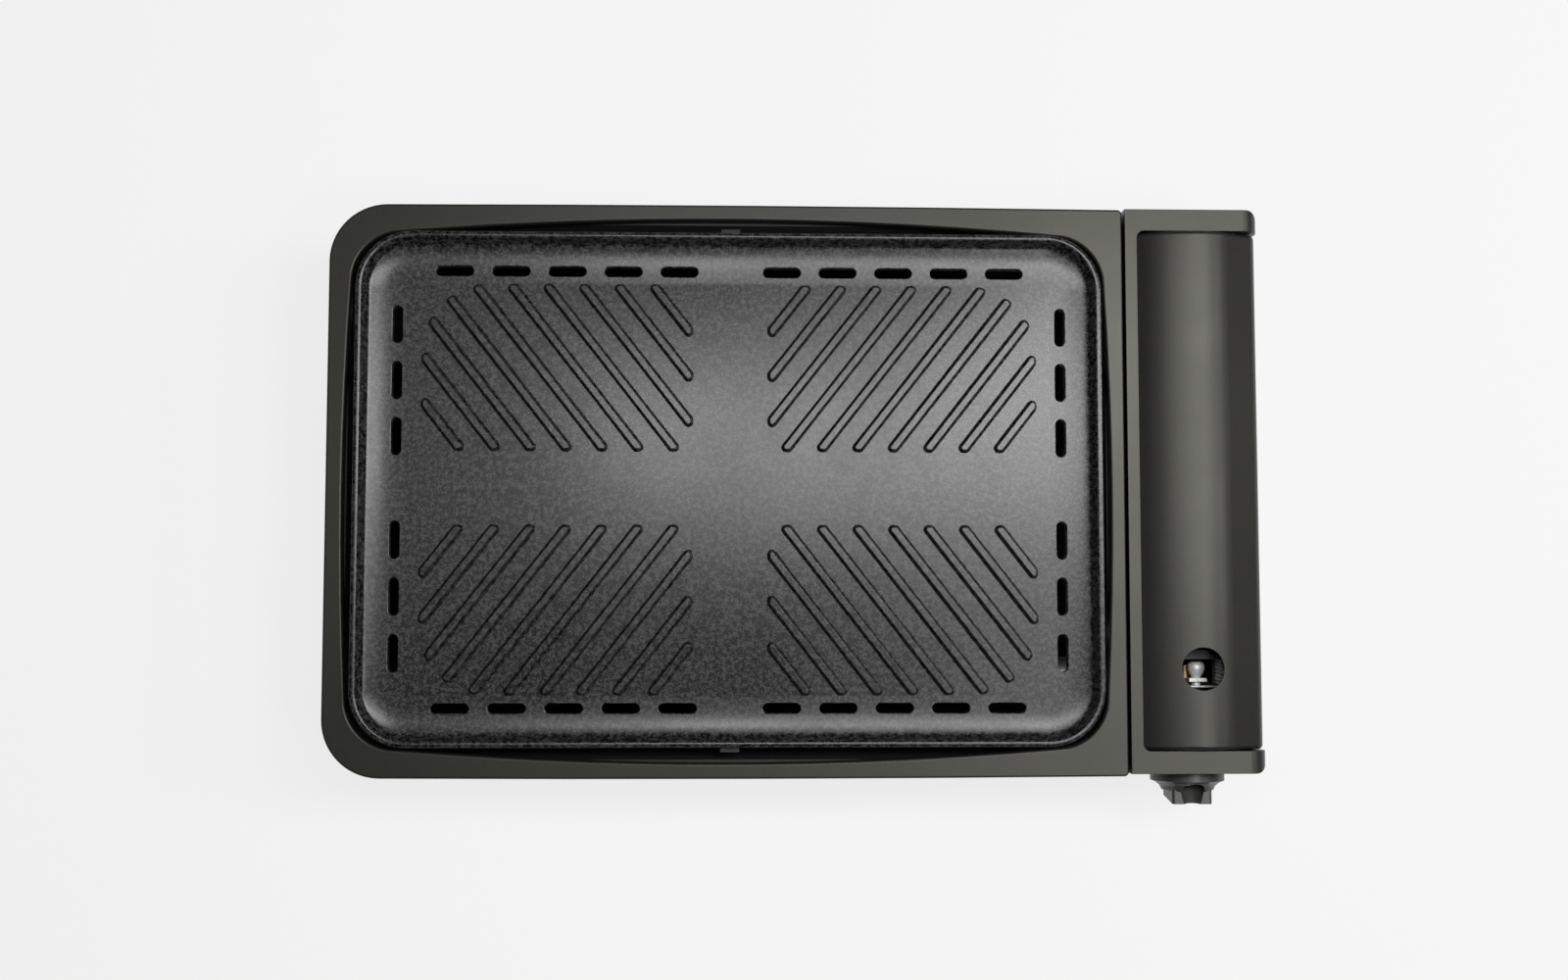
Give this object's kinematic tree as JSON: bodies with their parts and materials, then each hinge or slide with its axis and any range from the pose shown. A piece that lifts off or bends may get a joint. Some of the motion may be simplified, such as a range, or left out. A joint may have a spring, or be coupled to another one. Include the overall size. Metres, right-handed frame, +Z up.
{
  "type": "portable gas grill",
  "caption": "Table-top gas grill: ribbed lift-out plate over a burner, domed canister lid on the right, control knob in front and a drip tray drawer on the left.",
  "frame": {"origin": "on the table, under the middle of the bounding box", "axes": "+Z up, +X to the canister section, +Y to the back, away from the knob"},
  "size_m": [0.503, 0.3234, 0.098],
  "materials": {
    "casing_coat": "semi-gloss dark grey enamel",
    "plate_coat": "cast aluminium with a dark grey fluororesin coating",
    "pan_coat": "semi-gloss black enamel",
    "dark_steel": "matt black heat-resistant coat",
    "zinc_steel": "zinc-coated sheet",
    "bright_steel": "nickel-plated",
    "brass": "plain brass",
    "black_plastic": "satin black",
    "ceramic": "unglazed",
    "rubber": "matt",
    "aluminised": "aluminised steel"
  },
  "bodies": {
    "base": {"base_pan": "pan_coat", "top_casing": "casing_coat", "side_frame": "casing_coat", "chamber_liner": "dark_steel", "burner_tube": "aluminised", "mixing_tube": "aluminised", "partition_wall": "dark_steel", "air_shutter": "zinc_steel", "injector_nozzle": "brass", "nozzle_bracket": "zinc_steel", "heat_shield": "aluminised", "burner_rails": "dark_steel", "burner_brackets": "zinc_steel", "electrode": "bright_steel", "electrode_holder": "ceramic", "igniter_lead": "black_plastic", "gas_pipe": "aluminised", "pipe_nuts": "brass", "governor_body": "dark_steel", "governor_cover": "zinc_steel", "governor_screws": "bright_steel", "governor_bracket": "zinc_steel", "canister_flange": "dark_steel", "gas_inlet": "brass", "return_spring": "bright_steel", "igniter_body": "black_plastic", "knob_bezel": "black_plastic", "canister_cradle": "zinc_steel", "hinge_brackets": "zinc_steel", "lid_hinge_pins": "bright_steel", "lid_catch": "zinc_steel", "plate_rests": "dark_steel", "locating_tabs": "dark_steel", "tray_rails": "zinc_steel", "rubber_feet": "rubber", "foot_screws": "bright_steel", "casing_clips": "zinc_steel"},
    "lid": {"canister_lid": "casing_coat"},
    "knob": {"knob": "black_plastic", "valve_stem": "brass"},
    "igniter_plunger": {"igniter_plunger": "black_plastic"},
    "trip_pin": {"trip_pin": "bright_steel"},
    "tray": {"drip_tray": "aluminised", "tray_front": "pan_coat"},
    "plate": {"grill_plate": "plate_coat"}
  },
  "joints": [
    {"name": "lid_swing", "type": "hinge", "parent": "base", "child": "lid", "pos_m": [0.24665, 0.00847, 0.05], "axis": [0, 1, 0], "range_deg": [0, 100]},
    {"name": "knob_turn", "type": "hinge", "parent": "base", "child": "knob", "pos_m": [0.21465, -0.14377, 0.059], "axis": [0, -1, 0], "range_deg": [0, 130]},
    {"name": "plunger_push", "type": "slide", "parent": "base", "child": "igniter_plunger", "axis": [0, 1, 0], "range_m": [0, 0.0041]},
    {"name": "trip_push", "type": "slide", "parent": "base", "child": "trip_pin", "axis": [0, -1, 0], "range_m": [0, 0.0018], "stiffness_N_per_m": 400, "springref_m": -0.002},
    {"name": "tray_slide", "type": "slide", "parent": "base", "child": "tray", "axis": [-1, 0, 0], "range_m": [0, 0.3]},
    {"name": "plate_lift", "type": "slide", "parent": "base", "child": "plate", "axis": [0, 0, 1], "range_m": [0, 0.06]}
  ],
  "couplings": [
    {"joint": "plunger_push", "follows": "knob_turn", "m_per_rad": 0.001763}
  ]
}
